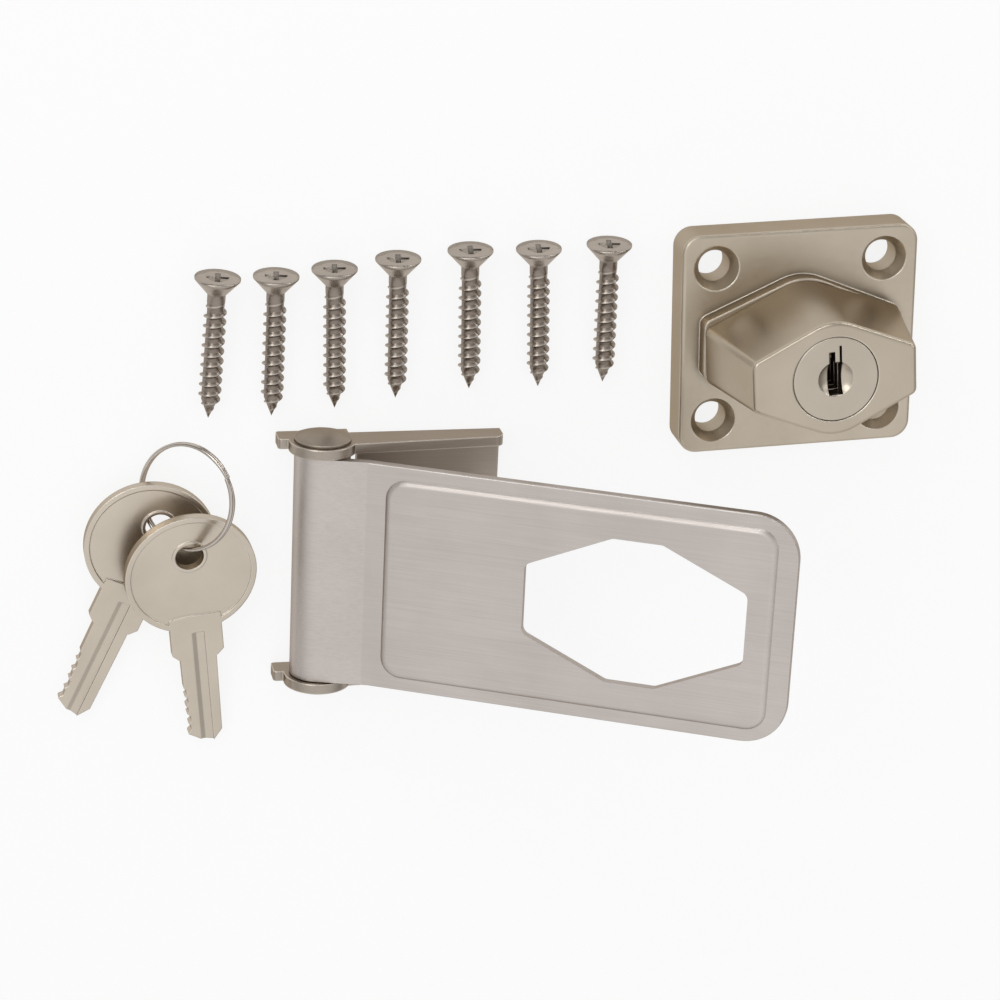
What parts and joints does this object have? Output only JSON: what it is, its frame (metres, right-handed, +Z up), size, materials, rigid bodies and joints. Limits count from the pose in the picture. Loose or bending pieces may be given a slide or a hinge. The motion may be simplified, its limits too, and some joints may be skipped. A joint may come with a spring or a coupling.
{
  "type": "keyed hasp lock",
  "caption": "Hinged hasp with a slotted strap, a turning knob lock worked by a key, countersunk wood screws, and keys on a split ring, laid out flat as a set.",
  "frame": {"origin": "middle of the lock plate's four screw holes, on the plate's back face and on the surface that the set lies on", "axes": "+X along the set, from the keys to the lock; +Y towards the heads of the screws; +Z up from the surface, out of the lock plate's front"},
  "size_m": [0.1871, 0.1093, 0.0557],
  "materials": {
    "satin_nickel_cast": "satin nickel plate on a zinc casting, warm champagne grey",
    "satin_nickel_plug": "satin nickel plate on the key plug",
    "satin_nickel_sheet": "brushed nickel plate on steel sheet, fine lines along the strap",
    "satin_nickel_pin": "satin nickel plate on the riveted pin",
    "nickel_screw": "nickel plated screws, slightly darker",
    "nickel_key": "satin nickel plate on brass keys",
    "bright_wire": "bright nickel plated spring wire",
    "inner_steel": "plain zinc plated steel",
    "wafer_brass": "stamped brass"
  },
  "bodies": {
    "base": {"lock_plate": "satin_nickel_cast", "fixed_leaf": "satin_nickel_sheet", "hinge_pin": "satin_nickel_pin", "front_key": "nickel_key", "rear_key": "nickel_key", "split_ring": "bright_wire", "mounting_screw_1": "nickel_screw", "mounting_screw_2": "nickel_screw", "mounting_screw_3": "nickel_screw", "mounting_screw_4": "nickel_screw", "mounting_screw_5": "nickel_screw", "mounting_screw_6": "nickel_screw", "mounting_screw_7": "nickel_screw"},
    "strap": {"strap": "satin_nickel_sheet"},
    "knob": {"turn_knob": "satin_nickel_cast", "retaining_ring": "inner_steel", "spring_washer": "inner_steel"},
    "plug": {"plug": "satin_nickel_plug", "lock_cam": "inner_steel", "cam_screw": "inner_steel", "wafer_1": "wafer_brass", "wafer_2": "wafer_brass", "wafer_3": "wafer_brass", "wafer_4": "wafer_brass", "wafer_5": "wafer_brass", "wafer_spring_1": "inner_steel", "wafer_spring_2": "inner_steel", "wafer_spring_3": "inner_steel", "wafer_spring_4": "inner_steel", "wafer_spring_5": "inner_steel"},
    "bolt": {"lock_bolt": "inner_steel"}
  },
  "joints": [
    {"name": "strap_hinge", "type": "hinge", "parent": "base", "child": "strap", "pos_m": [-0.1044, -0.0434, 0.0062], "axis": [-0.0454, -0.999, 0], "range_deg": [-26.6, 112]},
    {"name": "knob_turn", "type": "hinge", "parent": "base", "child": "knob", "pos_m": [0, 0, 0.008], "axis": [0, 0, 1], "range_deg": [-3.4, 86.6]},
    {"name": "plug_turn", "type": "hinge", "parent": "knob", "child": "plug", "pos_m": [0, 0, 0.02], "axis": [0, 0, 1], "range_deg": [0, 90]},
    {"name": "bolt_slide", "type": "slide", "parent": "knob", "child": "bolt", "axis": [-0.9982, -0.0593, 0], "range_m": [0, 0.0025]}
  ],
  "couplings": [
    {"joint": "bolt_slide", "follows": "plug_turn", "m_per_rad": 0.0015915}
  ]
}
